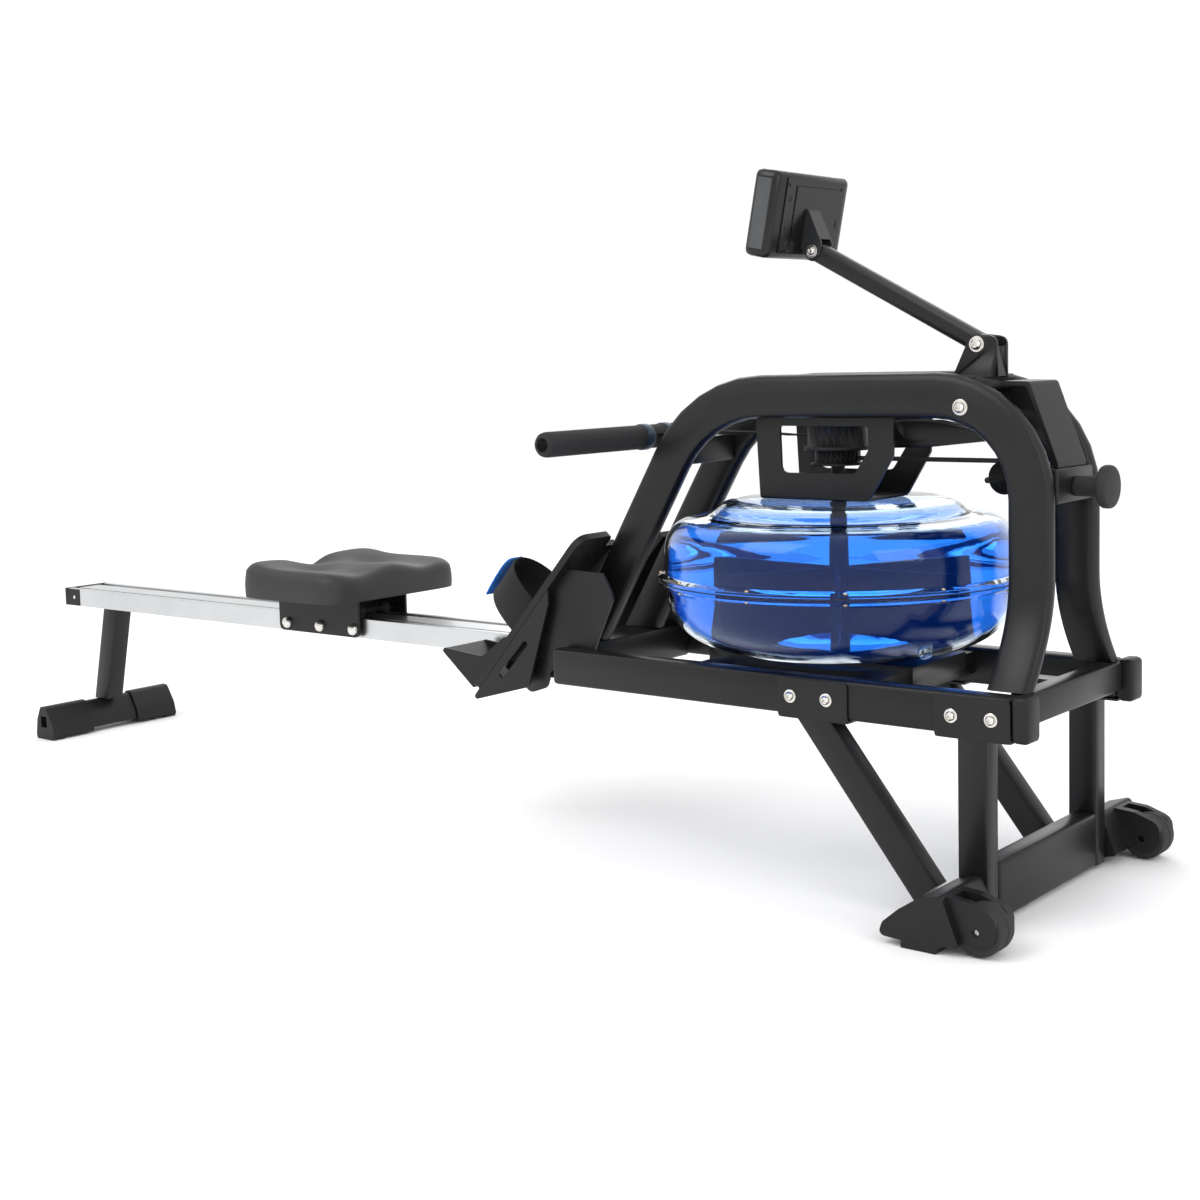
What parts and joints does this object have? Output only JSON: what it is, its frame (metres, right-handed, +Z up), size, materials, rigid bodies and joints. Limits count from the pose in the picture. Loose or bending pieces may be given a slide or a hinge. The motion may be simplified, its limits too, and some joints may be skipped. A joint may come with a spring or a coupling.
{
  "type": "rowing machine",
  "caption": "Water-resistance rowing machine: twin steel hoops over a clear tank of blue water, a seat on an aluminium rail, sloping footrests, a pull handle and a console on an arm",
  "frame": {"origin": "on the floor, at the centre of the bounding box's underside", "axes": "+X runs from the rear foot to the tank and transport wheels, +Z is up, and -Y is the right-hand side of a rower who faces the tank"},
  "size_m": [2.051, 0.536, 0.9139],
  "materials": {
    "frame_paint": "satin powder coat",
    "black_plastic": "fine moulded grain",
    "rubber": "matt",
    "aluminium": "drawn and anodised, brushed along its length",
    "seat_skin": "soft moulded skin",
    "foam_grip": "closed-cell foam",
    "clear_tank": "clear moulded plastic",
    "blue_water": "dyed blue water",
    "webbing": "woven black webbing",
    "screen_glass": "dark display window"
  },
  "bodies": {
    "frame": {"base_rail_left": "frame_paint", "base_rail_right": "frame_paint", "bumper": "rubber", "console_bracket": "frame_paint", "drive_bracket": "frame_paint", "drive_strap": "webbing", "foot_casing_left": "black_plastic", "foot_casing_right": "black_plastic", "foot_strap_left": "webbing", "foot_strap_right": "webbing", "footplate_left": "black_plastic", "footplate_right": "black_plastic", "footrest_bracket_left": "frame_paint", "footrest_bracket_right": "frame_paint", "front_cover": "black_plastic", "front_cross_tube": "frame_paint", "handle_rest": "frame_paint", "hoop_cross_member": "frame_paint", "hoop_left": "frame_paint", "hoop_right": "frame_paint", "rail_cap_left": "black_plastic", "rail_cap_right": "black_plastic", "rear_cross_tube": "frame_paint", "rear_foot": "frame_paint", "rear_foot_shoe_left": "black_plastic", "rear_foot_shoe_right": "black_plastic", "rear_post": "frame_paint", "return_cord": "rubber", "seat_rail": "aluminium", "seat_rail_cap": "black_plastic", "stand_cross_tube": "frame_paint", "stand_leg_left": "frame_paint", "stand_leg_right": "frame_paint", "stand_strut_left": "frame_paint", "stand_strut_right": "frame_paint", "tank_cradle": "frame_paint", "tank_gasket": "rubber", "tank_lower": "clear_tank", "tank_upper": "clear_tank", "water": "blue_water"},
    "seat": {"seat_pad": "seat_skin", "seat_carriage": "frame_paint"},
    "seat_roller_front_body": {"seat_roller_front": "rubber"},
    "seat_roller_rear_body": {"seat_roller_rear": "rubber"},
    "handle_body": {"handle": "foam_grip"},
    "drum_body": {"strap_drum": "black_plastic"},
    "paddle_body": {"paddle": "black_plastic"},
    "strap_roller_body": {"strap_roller": "black_plastic"},
    "cord_pulley_body": {"cord_pulley": "black_plastic"},
    "wheel_right_body": {"transport_wheel_right": "rubber"},
    "wheel_left_body": {"transport_wheel_left": "rubber"},
    "heel_cup_right_body": {"heel_cup_right": "black_plastic"},
    "heel_cup_left_body": {"heel_cup_left": "black_plastic"},
    "arm_body": {"console_arm": "frame_paint"},
    "console_body": {"console_case": "black_plastic", "console_screen": "screen_glass", "console_neck": "frame_paint"},
    "button_left_body": {"console_button_left": "rubber"},
    "button_middle_body": {"console_button_middle": "rubber"},
    "button_right_body": {"console_button_right": "rubber"}
  },
  "joints": [
    {"name": "seat_slide", "type": "slide", "parent": "frame", "child": "seat", "axis": [1, 0, 0], "range_m": [-0.57, 0.16]},
    {"name": "seat_roller_front_spin", "type": "hinge", "parent": "seat", "child": "seat_roller_front_body", "pos_m": [-0.246, 0, 0.2758], "axis": [0, 1, 0], "continuous": true},
    {"name": "seat_roller_rear_spin", "type": "hinge", "parent": "seat", "child": "seat_roller_rear_body", "pos_m": [-0.376, 0, 0.2758], "axis": [0, 1, 0], "continuous": true},
    {"name": "handle_pull", "type": "slide", "parent": "frame", "child": "handle_body", "axis": [-1, 0, 0], "range_m": [0, 0.95]},
    {"name": "paddle_spin", "type": "hinge", "parent": "frame", "child": "paddle_body", "pos_m": [0.647, 0, 0.4], "axis": [0, 0, 1], "continuous": true},
    {"name": "drum_spin", "type": "hinge", "parent": "frame", "child": "drum_body", "pos_m": [0.647, 0, 0.56], "axis": [0, 0, 1], "continuous": true},
    {"name": "strap_roller_spin", "type": "hinge", "parent": "frame", "child": "strap_roller_body", "pos_m": [0.438, 0, 0.585], "axis": [0, 1, 0], "continuous": true},
    {"name": "cord_pulley_spin", "type": "hinge", "parent": "frame", "child": "cord_pulley_body", "pos_m": [0.887, 0, 0.519], "axis": [0, 1, 0], "continuous": true},
    {"name": "wheel_right_spin", "type": "hinge", "parent": "frame", "child": "wheel_right_body", "pos_m": [0.974, -0.236, 0.03], "axis": [0, 1, 0], "continuous": true},
    {"name": "wheel_left_spin", "type": "hinge", "parent": "frame", "child": "wheel_left_body", "pos_m": [0.974, 0.236, 0.03], "axis": [0, 1, 0], "continuous": true},
    {"name": "heel_cup_right_slide", "type": "slide", "parent": "frame", "child": "heel_cup_right_body", "axis": [-0.6626, 0, -0.749], "range_m": [0, 0.055]},
    {"name": "heel_cup_left_slide", "type": "slide", "parent": "frame", "child": "heel_cup_left_body", "axis": [-0.6626, 0, -0.749], "range_m": [0, 0.055]},
    {"name": "console_arm_pivot", "type": "hinge", "parent": "frame", "child": "arm_body", "pos_m": [0.856, 0, 0.683], "axis": [0, 1, 0], "range_deg": [-12, 45]},
    {"name": "console_tilt", "type": "hinge", "parent": "arm_body", "child": "console_body", "pos_m": [0.62, 0, 0.809], "axis": [0, 1, 0], "range_deg": [-30, 30]},
    {"name": "button_left_press", "type": "slide", "parent": "console_body", "child": "button_left_body", "axis": [0.9799, 0, -0.1994], "range_m": [0, 0.0015], "stiffness_N_per_m": 300, "springref_m": -0.001},
    {"name": "button_middle_press", "type": "slide", "parent": "console_body", "child": "button_middle_body", "axis": [0.9799, 0, -0.1994], "range_m": [0, 0.0015], "stiffness_N_per_m": 300, "springref_m": -0.001},
    {"name": "button_right_press", "type": "slide", "parent": "console_body", "child": "button_right_body", "axis": [0.9799, 0, -0.1994], "range_m": [0, 0.0015], "stiffness_N_per_m": 300, "springref_m": -0.001}
  ],
  "couplings": [
    {"joint": "seat_roller_front_spin", "follows": "seat_slide", "rad_per_m": 74.074},
    {"joint": "seat_roller_rear_spin", "follows": "seat_slide", "rad_per_m": 74.074},
    {"joint": "drum_spin", "follows": "handle_pull", "rad_per_m": 24.51},
    {"joint": "paddle_spin", "follows": "handle_pull", "rad_per_m": 24.51},
    {"joint": "strap_roller_spin", "follows": "handle_pull", "rad_per_m": 90.909},
    {"joint": "cord_pulley_spin", "follows": "handle_pull", "rad_per_m": -40.369}
  ]
}
